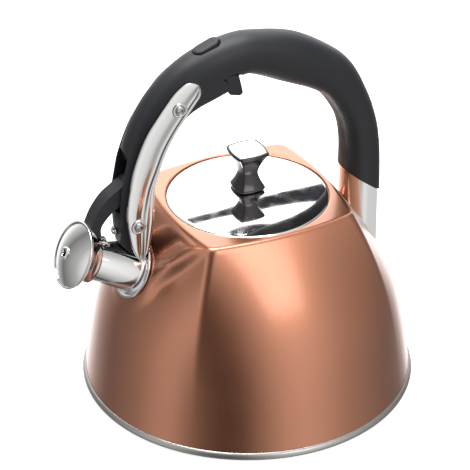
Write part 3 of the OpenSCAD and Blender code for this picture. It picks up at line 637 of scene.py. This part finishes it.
def grip_rings(sides):
    spine = spline(STATIONS, 6)
    end = rear_line(REAR_X)
    rings = []
    for i, s in enumerate(spine):
        if s[0] > 60 and s[1] < end + 1:
            break
        a, b = spine[max(i - 1, 0)], spine[min(i + 1, len(spine) - 1)]
        d = math.hypot(b[0] - a[0], b[1] - a[1])
        nx, nz = -(b[1] - a[1]) / d, (b[0] - a[0]) / d
        shear = smooth(165, end, s[1]) * REAR_SLOPE if s[0] > 60 else 0
        rings.append(grip_ring(s[0], s[1], s[2], s[3], nx, nz, shear, sides))
    for inset, lift in ((0, 1.1), (0.1, 0.5), (0.4, 0.12), (1.0, 0.0), (4, 0.0)):
        half = REAR_HALF - inset
        rings.append(grip_ring(REAR_X, end + lift, half, half, 1, 0, REAR_SLOPE, sides))
    return rings


def grip_ring(x, z, deep, wide, nx, nz, shear, sides):
    """A rounded section across the arch, (nx, nz) pointing away from the hand's side."""
    ring = []
    power = 2 / 2.3
    for j in range(sides):
        u = 2 * math.pi * j / sides
        p = deep * math.copysign(abs(math.cos(u)) ** power, math.cos(u))
        q = wide * math.copysign(abs(math.sin(u)) ** power, math.sin(u))
        ring.append((x + nx * p, q, z + nz * p - shear * nx * p))
    return ring


# The part of the grip that gives way to the cover, and the thumb button's own frame
SEAM = [(-12.5, 231.4), (-21, 230.6), (-28, 228.2), (-37, 222.6), (-46, 213.2), (-57, 196), (-50, 186),
        (-12.5, 206)]
BUTTON = Matrix.Translation(Vector((-29, 0, 248.6)) * MM) @ Matrix.Rotation(math.radians(-21), 4, "Y")


def pad_ring(grow, z):
    """The thumb button's outline: two half circles and the straight stretch between them."""
    r, x, n = 4.8 + grow, 4.2, 24
    turns = [2 * math.pi * (k + 0.5) / n for k in range(n)]
    return [(math.copysign(x, math.cos(a)) + r * math.cos(a), r * math.sin(a), z) for a in turns]


def build_grip():
    bm = bmesh.new()
    add_rings(bm, grip_rings(72), caps=True)
    obj = finish_mesh(bm, "grip", "soft_plastic", "kettle", ["handle_grip"], sharp=40)
    cut_plate(obj, SEAM, 20)
    trigger_room = [(-24, 206), (-24, 233.8), (-7, 233.8), (-6.8, 206)]
    cut_plate(obj, trigger_room, 10.7)
    arm_slot = [(-104, 147), (-104, 190), (-86.6, 190), (-83, 178), (-76, 172), (-72.6, 170), (-72.6, 156),
                (-76, 149), (-84, 147)]
    cut_plate(obj, arm_slot, 6.3)
    tool = bmesh.new()
    add_rings(tool, [pad_ring(0.75, -5.2), pad_ring(0.75, 9)], caps=True, matrix=BUTTON)
    cut(obj, tool, sharp=40)
    spout_room = [(0.001, -60), (70, -60), (70, 0.6), (21, 0.6), (21, 6.5), (15.7, 6.5), (15.7, 60), (0.001, 60)]
    tool = bmesh.new()
    lathe(tool, spout_room, 96, SPOUT_FRAME)
    cut(obj, tool, sharp=40)


def build_button():
    bm = bmesh.new()
    pad = [pad_ring(grow, z) for grow, z in ((0, -2.2), (0, 0.2), (-0.12, 0.65), (-0.5, 1.0), (-1.1, 1.15),
                                            (-2.6, 1.2), (-4.2, 1.2))]
    add_rings(bm, pad, caps=True, matrix=BUTTON)
    stem_x, stem_r, head_r = -34, 2, 3.9
    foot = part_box("thumb_button")[0].z / MM
    for r, low, high in ((stem_r, foot, 244), (head_r, 240.2, 244.6)):
        circle = full_circle(stem_x, 0, r, 24)
        add_rings(bm, [[(x, y, z) for x, y in circle] for z in (low, high)], caps=True)
    finish_mesh(bm, "thumb_pad", "soft_plastic", "button", ["thumb_button"], sharp=40)


def cover_ring(lo, up, w):
    """A section of the cover: flat towards the grip at up, with its two lower corners rounded."""
    depth = float(np.linalg.norm(lo - up))
    r = min(5.0, depth * 0.8)
    steps = 7
    corner = []
    for k in range(steps + 1):
        a = math.pi / 2 * k / steps
        corner.append((w - r + r * math.cos(a), 1 - (r - r * math.sin(a)) / depth))
    half = [(w, 0.0), (w, 0.35 * corner[0][1])] + corner + [(0.5 * (w - r), 1.0 + 0.15 / depth)]
    near = [(*(up + (lo - up) * v), -q) for q, v in half]
    far = [(*(up + (lo - up) * v), q) for q, v in reversed(half)]
    return [(x, y, z) for x, z, y in near + far]


def build_cover():
    """The cover under the front of the arch, lofted between its lower line and the grip's seam."""
    lower = spline([(-56.4, 196.2), (-52, 199.6), (-45, 205.9), (-39, 209.8), (-34, 212.0), (-27, 214.2),
                    (-18.7, 217.0), (-14.5, 218.4)], 6)
    upper = spline([(-56.0, 197.8), (-52, 204.0), (-46, 213.0), (-37.2, 222.4), (-32, 226), (-27.6, 228.2),
                    (-22.0, 229.9), (-17.0, 230.7)], 6)
    last = len(lower) - 1
    bm = bmesh.new()
    add_rings(bm, [cover_ring(lo, up, 9.6 + 1.9 * smooth(0, 0.7, i / last))
                   for i, (lo, up) in enumerate(zip(lower, upper))], caps=True)
    obj = finish_mesh(bm, "linkage_cover", "soft_plastic", "kettle", ["mechanism_cover"], sharp=40)
    px, _, pz = LEVER_PIVOT
    cut_plate(obj, arc_points(px, pz, 7.1, -42, 66, 14) + [(-16, 233), (-8, 233), (-8, 210), (-16, 212)], 14)
    # Room for the lever, whose lower edge is turned here to just past the end of its travel
    travel, room = 0.39, 0.3
    c, s = math.cos(travel), math.sin(travel)
    swept = [(px + (x - px) * c - (z - pz) * s, pz + (x - px) * s + (z - pz) * c - room)
             for x, z in ((-53.6, 222.6), (-50, 222.3), (-25, 218), (-21, 219.3))]
    cut_plate(obj, [(-57, 236), (-57, swept[0][1])] + swept + [(-20, 236)], 4.8)


def build_trigger():
    px, _, pz = LEVER_PIVOT
    block = arc_points(px, pz, 7.4, -24, 51, 10)
    block += rounded([(-19.6, 229.3), (-11.2, 229.4), (-8.2, 215.8), (-10.2, 214.2), (-17.2, 216.2)],
                     [0.5, 0.5, 1.2, 1.2, 0.3])
    neck = [(-28, 219), (-20, 219.4), (-14, 221), (-13, 228), (-22, 226), (-27, 225.2)]
    bar = [(-25, 218), (-50, 222.4), (-53.6, 222.8), (-53.6, 229.2), (-38, 228.2), (-25, 225.4)]
    bar_half = 4.2
    bm = bmesh.new()
    plate(bm, block, -10.3, 10.3, bevel=0.9, segments=4)
    plate(bm, neck, -bar_half, bar_half, bevel=0.3)
    plate(bm, bar, -bar_half, bar_half, bevel=0.3)
    across(bm, px, pz, 4, -bar_half, bar_half)
    across(bm, -53.6, 226, 3.2, -bar_half, bar_half)
    obj = finish_mesh(bm, "trigger_lever", "soft_plastic", "lever", ["trigger"], sharp=38)
    link_slot = [(-49.5, 214), (-60, 214), (-60, 234), (-49.5, 234)]
    cut_plate(obj, link_slot, 1.7, sharp=38)


# ---------- Steel cheeks ----------
CHEEK_OUTER = [spout_point(7, 10.6), (-87.4, 124), (-90.2, 143.5), (-89.8, 155), (-87.6, 168), (-84.6, 181),
               (-77.4, 199), (-68.6, 212.5), (-58, 225.6), (-51.5, 231.0)]
CHEEK_CREASE = [spout_point(5, 10.2), (-80.6, 122), (-80, 143), (-78.6, 151.5), (-75.6, 164), (-70.4, 177),
                (-65.2, 189.6), (-58.4, 201), (-50.0, 212.4), (-44.4, 219.8)]
CHEEK_INNER = [spout_point(4.2, 12.6), (-75, 121), (-71.6, 138), (-71.2, 151), (-70.4, 163), (-67, 175),
               (-62.2, 187), (-56, 198.6), (-47, 210.4), (-40.4, 218.8)]
CHEEK_SCREWS = [(-53.5, 215.7), (-82.8, 138.8)]
# Across a cheek, from its outer edge at 0 over the crease at 1 to its inner edge at 2: height of the sheet's face
CHEEK_FACE = [(0.0, 12.6), (0.0, 13.15), (0.05, 13.45), (0.12, 13.6), (0.3, 13.74), (0.48, 13.8), (0.6, 13.74),
              (0.7, 13.52), (0.79, 13.2), (0.88, 12.95), (0.96, 12.9), (1.04, 13.0), (1.12, 13.26), (1.2, 13.55),
              (1.3, 13.76), (1.41, 13.8), (1.48, 13.62), (1.52, 13.2), (1.56, 12.95), (1.62, 12.92),
              (1.7, 13.1), (1.79, 13.16), (1.88, 12.96), (1.95, 12.6), (2.0, 12.15)]


def build_cheek(side):
    """A pressed cheek on the near side (1) or the far side (-1), with a raised seat around each screw."""
    steps = 7
    o, c, n = (spline(line, steps) for line in (CHEEK_OUTER, CHEEK_CREASE, CHEEK_INNER))
    last = len(o) - 1

    def section(i, squeeze, forward):
        oo, cc, nn = o[i], c[i], n[i]
        mid = (oo + nn) / 2
        h = (nn - oo) / 2
        d = np.array([-h[1], h[0]])
        d = d / np.linalg.norm(d) * np.linalg.norm(h)
        if d @ (o[last] - o[last - 6]) < 0:
            d = -d

        def at(u):
            p = oo * (1 - u) + cc * u if u < 1 else cc * (2 - u) + nn * (u - 1)
            return mid + (p - mid) * squeeze + d * forward

        k = min(1, i / (2.5 * steps)) * min(1, max(0, (last - i) / (2.0 * steps)))
        ring = [(*at(u), y) for u, y in CHEEK_FACE]
        ring += [(*at(2.0), 12.1 - 0.9 * k), (*at(1.985), 11.9 - 2.1 * k), (*at(1.93), 11.6 - 2.2 * k),
                 (*at(1.86), 11.9), (*at(1.6), 12.3), (*at(1.0), 12.3), (*at(0.4), 12.5)]
        return [(x, -side * y, z) for x, z, y in ring]

    rings = [section(0, 0.25, -0.16), section(0, 0.62, -0.1), section(0, 0.88, -0.04)]
    rings += [section(i, 1, 0) for i in range(last + 1)]
    end_turns = np.radians([15, 30, 45, 58, 70, 79, 86])
    rings += [section(last, math.cos(a), 0.92 * math.sin(a)) for a in end_turns]
    bm = bmesh.new()
    add_rings(bm, rings, caps=True)
    seat = rounded([(1.7, 12.5), (5.6, 12.5), (5.3, 13.7), (4.5, 14.35), (3.75, 14.4), (3.6, 13.7), (1.7, 13.7)],
                   [0, 0.3, 0.8, 0.4, 0.3, 0.2, 0])
    for x, z in CHEEK_SCREWS:
        lathe(bm, seat, 48, facing_side((x, 0, z), side))
    name = "near" if side > 0 else "far"
    finish_mesh(bm, "steel_cheek_" + name, "polished_steel", "kettle", ["cheek_" + name], sharp=44)


def facing_side(point, side):
    """A frame at a point in millimetres whose Z axis points out of the near (1) or the far (-1) side."""
    return Matrix.Translation(Vector(point) * MM) @ Matrix.Rotation(math.radians(90 * side), 4, "X")


def screw_head(bm, matrix, radius, rise, shank):
    """A dome head on a plain shank, its flat side at z = 0 of matrix."""
    lip, shank_r = 0.35, 1.45
    dome = [(radius * math.cos(a), lip + rise * math.sin(a)) for a in np.radians(np.linspace(0, 90, 10))[:-1]]
    outline = [(0.02, -shank), (shank_r, -shank), (shank_r, -0.05), (radius * 0.97, -0.05)]
    outline += dome + [(0.02, lip + rise)]
    part = bmesh.new()
    lathe(part, outline, 40, matrix)
    merge(bm, part)


def cross_cutter(bm, matrix, radius, top):
    """The two tapered blades that cut a cross recess."""
    w, l, d = 0.55, radius * 0.68, 1.5
    for turn in (20, 110):
        low = [(x * l * 0.45, y * w * 0.6, top - d) for x, y in ((-1, -1), (1, -1), (1, 1), (-1, 1))]
        high = [(x * l, y * w, top + 0.5) for x, y in ((-1, -1), (1, -1), (1, 1), (-1, 1))]
        add_rings(bm, [low, high], caps=True, matrix=matrix @ Matrix.Rotation(math.radians(turn), 4, "Z"))


def build_screws():
    bm, tool = bmesh.new(), bmesh.new()
    for side in (1, -1):
        for x, z in CHEEK_SCREWS:
            m = facing_side((x, -side * 13.75, z), side)
            screw_head(bm, m, 3.35, 1.35, 6.5)
            cross_cutter(tool, m, 3.35, 1.7)
    obj = finish_mesh(bm, "cheek_fasteners", "plain_steel", "kettle", ["cheek_screws"], sharp=36)
    cut(obj, tool, sharp=36)
    bm, tool = bmesh.new(), bmesh.new()
    m = Matrix.Translation(Vector((-93.8, 0, 131.4)) * MM) @ Matrix.Rotation(math.radians(-90), 4, "Y")
    screw_head(bm, m, 3.4, 1.4, 9)
    cross_cutter(tool, m, 3.4, 1.75)
    obj = finish_mesh(bm, "leg_fastener", "plain_steel", "kettle", ["leg_screw"], sharp=36)
    cut(obj, tool, sharp=36)


# ---------- Rear bracket ----------
def wall_height(x, y):
    """Height at which the body's outside passes through a point (x, y) of the plan, found by halving."""
    angle, want = math.degrees(math.atan2(y, x)), math.hypot(x, y)
    low, high = 0.2, 1.0
    for _ in range(40):
        t = (low + high) / 2
        m, c, r, _ = wall_at(t, 0)
        if bowed_radius(m, c, r, angle) > want:
            low = t
        else:
            high = t
    return bez((FOOT, 58, 75, SHOULDER_Z), low)


def build_bracket():
    """A sheet bent round the rear of the handle, from the body's wall up to the slanted end of the grip."""
    back = 88.4
    outer_r, sheet = 13.2, 1.4

    def path(r):
        pts = [(back - (back - REAR_X) * k / 5, -r) for k in range(5)]
        pts += [(REAR_X - r * math.sin(a), -r * math.cos(a)) for a in np.linspace(0, math.pi, 33)]
        pts += [(REAR_X + (back - REAR_X) * (k + 1) / 5, r) for k in range(5)]
        return pts

    heights = np.linspace(0, 1, 14)
    rings = []
    for (xo, yo), (xi, yi) in zip(path(outer_r), path(outer_r - sheet)):
        bottom_o, bottom_i = wall_height(xo, yo) + 0.1, wall_height(xi, yi) + 0.1
        top_o, top_i = rear_line(xo) + 0.2, rear_line(xi) + 0.2
        column = [(xo, yo, bottom_o + (top_o - bottom_o) * h) for h in heights]
        column += [(xi, yi, top_i - (top_i - bottom_i) * h) for h in heights]
        rings.append(column)
    bm = bmesh.new()
    add_rings(bm, rings, caps=True)
    finish_mesh(bm, "rear_sheet", "polished_steel", "kettle", ["rear_bracket"], sharp=44)


# ---------- Light, floor and camera ----------
def area(name, location, target, size, power):
    data = bpy.data.lights.new(name, "AREA")
    data.shape = "RECTANGLE"
    data.size, data.size_y = size
    data.energy = power
    obj = bpy.data.objects.new(name, data)
    obj.location = location
    obj.rotation_euler = (Vector(target) - Vector(location)).to_track_quat("-Z", "Y").to_euler()
    bpy.context.scene.collection.objects.link(obj)


def stage_mesh(bm, name):
    """A mesh of the stage, which is not part of the object."""
    mesh = bpy.data.meshes.new(name)
    bm.to_mesh(mesh)
    bm.free()
    obj = bpy.data.objects.new(name, mesh)
    bpy.context.scene.collection.objects.link(obj)
    obj.visible_diffuse = False
    obj.visible_shadow = False
    return obj


def build_floor():
    bm = bmesh.new()
    add_rings(bm, [circle_ring(r, -0.1, np.arange(0, 360, 5)) for r in (1, 400, 1200, 6000)])
    floor = stage_mesh(bm, "floor")
    floor.visible_glossy = False
    m = material("pale_floor", (0.85, 0.85, 0.85), 0, 0.6, specular=0.1)
    vary_roughness(m, noise(m, 3), 0.55, 0.7)
    b = m.node_tree.nodes["Principled BSDF"]
    b.inputs["Emission Color"].default_value = (1, 1, 1, 1)
    b.inputs["Emission Strength"].default_value = 0.72
    floor.data.materials.append(m)


def build_stage():
    bpy.context.scene.world = studio_world()
    build_floor()
    area("key", (0.3, -1.4, 1.2), (0, 0, 0.1), (0.75, 1.0), 4.5)
    area("top", (0.0, 0.35, 1.5), (0, 0, 0.1), (0.9, 0.9), 22)
    dark_panels()


def dark_panels():
    """A bowed dark band and an oval overhead that only reflections see, the lid's above all."""
    height, metre = 900, 1000
    band = spline([(0.05, 0.74, 0.05), (0.23, 0.705, 0.05), (0.41, 0.75, 0.08), (0.65, 0.87, 0.1),
                   (1.0, 1.1, 0.15), (1.5, 1.5, 0.26)], 5)
    bm = bmesh.new()
    add_rings(bm, [[(metre * x, metre * (y - w), height), (metre * x, metre * (y + w), height)] for x, y, w in band],
              ring_closed=False)
    turns = np.linspace(0, 2 * math.pi, 24, endpoint=False)
    add_rings(bm, [[(250 + k * 130 * math.cos(a), 455 + k * 45 * math.sin(a), height) for a in turns]
                   for k in (0.02, 1)])
    panels = stage_mesh(bm, "dark_panels")
    panels.visible_camera = False
    m = material("panel_cloth", (0.05, 0.05, 0.06), 0, 0.9, specular=0.0)
    vary_color(m, noise(m, 4), (0.04, 0.04, 0.05), (0.07, 0.065, 0.08))
    panels.data.materials.append(m)


# Brightness of the studio around the object, by degrees from the front (-Y) towards +X
STUDIO = [(-180, 1.6), (-160, 0.6), (-140, 0.22), (-122, 0.35), (-104, 0.5), (-92, 0.8), (-78, 0.9),
          (-68, 0.5), (-55, 0.2), (-42, 0.1), (-28, 0.13), (-15, 0.5), (0, 0.95), (14, 1.1), (28, 0.9),
          (45, 0.6), (65, 0.45), (85, 0.3), (106, 0.3), (118, 0.6), (130, 1.6), (148, 2.3), (165, 2.3),
          (180, 1.6)]
BRIGHTEST = 2.3


def ramp_of(n, fac, stops):
    """A grey ramp over fac, from pairs of position and value."""
    ramp = n.nodes.new("ShaderNodeValToRGB")
    elements = ramp.color_ramp.elements
    while len(elements) < len(stops):
        elements.new(0.5)
    for element, (position, value) in zip(elements, stops):
        element.position = position
        element.color = (value, value, value, 1)
    n.links.new(fac, ramp.inputs["Fac"])
    return ramp.outputs["Color"]


def studio_world():
    """Soft light as a brightness over direction, and plain white where the camera looks past the object."""
    world = bpy.data.worlds.new("studio")
    world.use_nodes = True
    n = world.node_tree
    back = n.nodes["Background"]
    co = n.nodes.new("ShaderNodeTexCoord")
    split = n.nodes.new("ShaderNodeSeparateXYZ")
    n.links.new(co.outputs["Generated"], split.inputs[0])
    turn = n.nodes.new("ShaderNodeMath")
    turn.operation = "MULTIPLY"
    turn.inputs[1].default_value = -1
    n.links.new(split.outputs["Y"], turn.inputs[0])
    joined = n.nodes.new("ShaderNodeCombineXYZ")
    n.links.new(turn.outputs[0], joined.inputs["X"])
    n.links.new(split.outputs["X"], joined.inputs["Y"])
    around = n.nodes.new("ShaderNodeTexGradient")
    around.gradient_type = "RADIAL"
    n.links.new(joined.outputs[0], around.inputs["Vector"])
    ring = ramp_of(n, around.outputs["Fac"], [(a / 360 + 0.5, v / BRIGHTEST) for a, v in STUDIO])
    lift = n.nodes.new("ShaderNodeMapRange")
    lift.inputs["From Min"].default_value = -1
    lift.inputs["From Max"].default_value = 1
    n.links.new(split.outputs["Z"], lift.inputs["Value"])
    low = ramp_of(n, lift.outputs["Result"], [(0.0, 0.5), (0.25, 0.8), (0.42, 0.9), (0.5, 0.95), (0.67, 1.0),
                                              (1.0, 1.0)])
    high = ramp_of(n, lift.outputs["Result"], [(0.86, 0.0), (0.93, 1.0)])
    shade = n.nodes.new("ShaderNodeMix")
    shade.data_type, shade.blend_type = "RGBA", "MULTIPLY"
    shade.inputs["Factor"].default_value = 1
    n.links.new(ring, shade.inputs["A"])
    n.links.new(low, shade.inputs["B"])
    top = n.nodes.new("ShaderNodeMix")
    top.data_type = "RGBA"
    top.inputs["B"].default_value = (0.35, 0.35, 0.35, 1)
    n.links.new(high, top.inputs["Factor"])
    n.links.new(shade.outputs["Result"], top.inputs["A"])
    n.links.new(top.outputs["Result"], back.inputs["Color"])
    back.inputs["Strength"].default_value = BRIGHTEST
    plain = n.nodes.new("ShaderNodeBackground")
    path = n.nodes.new("ShaderNodeLightPath")
    pick = n.nodes.new("ShaderNodeMixShader")
    n.links.new(path.outputs["Is Camera Ray"], pick.inputs["Fac"])
    n.links.new(back.outputs[0], pick.inputs[1])
    n.links.new(plain.outputs[0], pick.inputs[2])
    plain.inputs["Color"].default_value = (1, 1, 1, 1)
    n.links.new(pick.outputs[0], n.nodes["World Output"].inputs["Surface"])
    return world


def build_camera():
    azimuth, elevation = math.radians(-25.68), math.radians(31.65)
    distance, lens = 1.8, 209.6
    back = Vector((math.sin(azimuth) * math.cos(elevation), -math.cos(azimuth) * math.cos(elevation),
                   math.sin(elevation)))
    right = Vector((math.cos(azimuth), math.sin(azimuth), 0))
    up = back.cross(right)
    target = Vector((0, 0, 0.07)) - right * 0.0081 + up * 0.0283
    data = bpy.data.cameras.new("camera")
    data.lens, data.sensor_width = lens, 36
    data.clip_start, data.clip_end = 0.1, 20
    cam = bpy.data.objects.new("camera", data)
    cam.location = target + back * distance
    cam.rotation_mode = "QUATERNION"
    cam.rotation_quaternion = (-back).to_track_quat("-Z", "Y")
    bpy.context.scene.collection.objects.link(cam)
    bpy.context.scene.camera = cam


build_body()
build_base()
lid_top = build_lid()
build_knob(lid_top)
build_spout()
build_whistle()
build_arm()
build_cap_tab()
build_grip()
build_button()
build_cover()
build_trigger()
build_cheek(1)
build_cheek(-1)
build_screws()
build_bracket()

slots = {s["node"]: s["material_slot"] for s in frame["record"]["subparts"]}
for name, node in frame["nodes"].items():
    node.data.materials.clear()
    node.data.materials.append(MATERIALS[slots[name]])

build_stage()
build_camera()
bpy.context.scene.view_settings.view_transform = "Standard"
